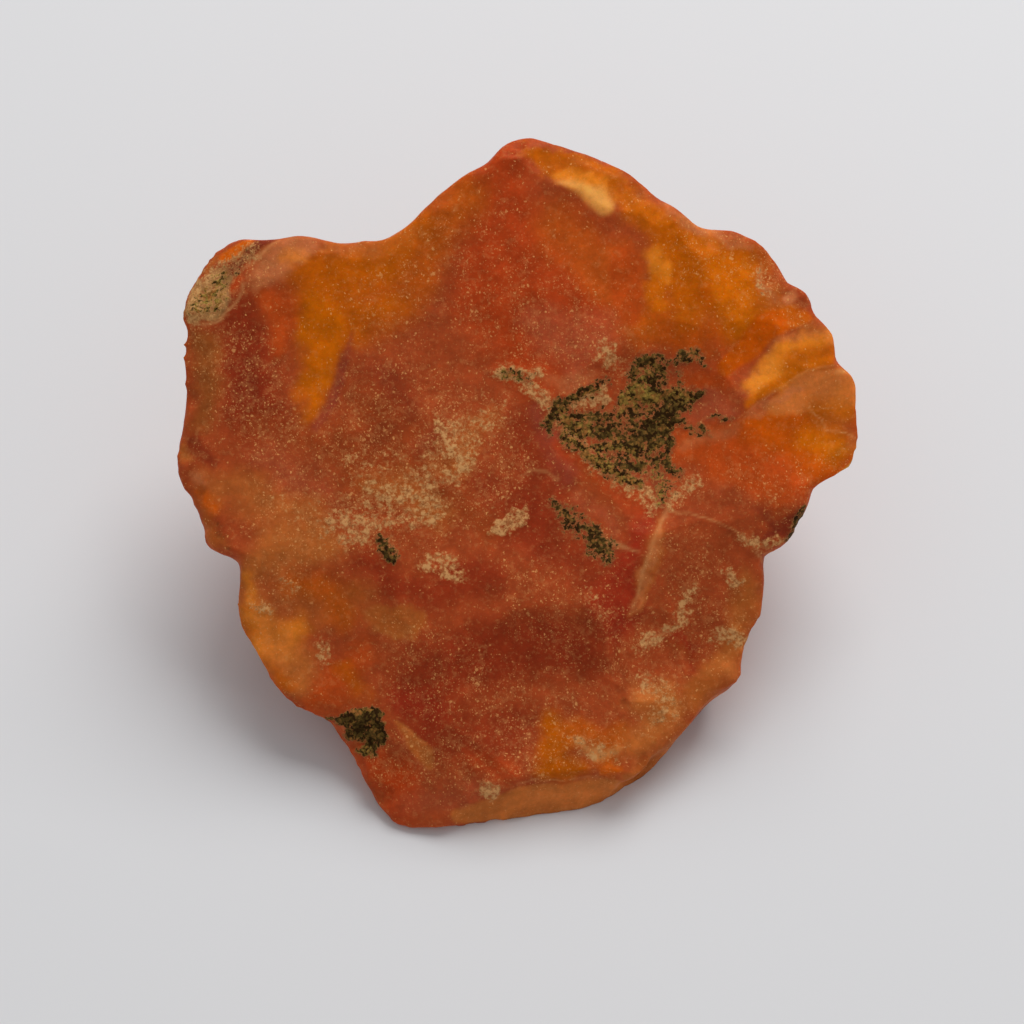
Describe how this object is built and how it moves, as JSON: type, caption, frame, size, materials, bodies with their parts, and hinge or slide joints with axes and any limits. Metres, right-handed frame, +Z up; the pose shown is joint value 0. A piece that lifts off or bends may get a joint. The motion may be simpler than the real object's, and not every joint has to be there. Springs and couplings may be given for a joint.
{
  "type": "rough carnelian chalcedony stone",
  "caption": "Natural rough lump of waxy orange-red chalcedony with a broad broken face, chipped edges and dark mineral patches, resting on a flat break.",
  "frame": {"origin": "under the middle of the stone's box, on the plane of the flat break it rests on", "axes": "+Z up, +X to the right along the stone's longest extent, +Y away from the viewer of the broad broken face, which leans back 30 degrees and faces -Y and +Z"},
  "size_m": [0.0456, 0.0414, 0.0249],
  "materials": {
    "chalcedony": "waxy to matt broken surface, slightly translucent, orange-red mottled with amber, brick red, pale dusty crust and dark olive-brown mineral patches"
  },
  "bodies": {
    "root": {"rough_stone": "chalcedony"}
  },
  "joints": []
}
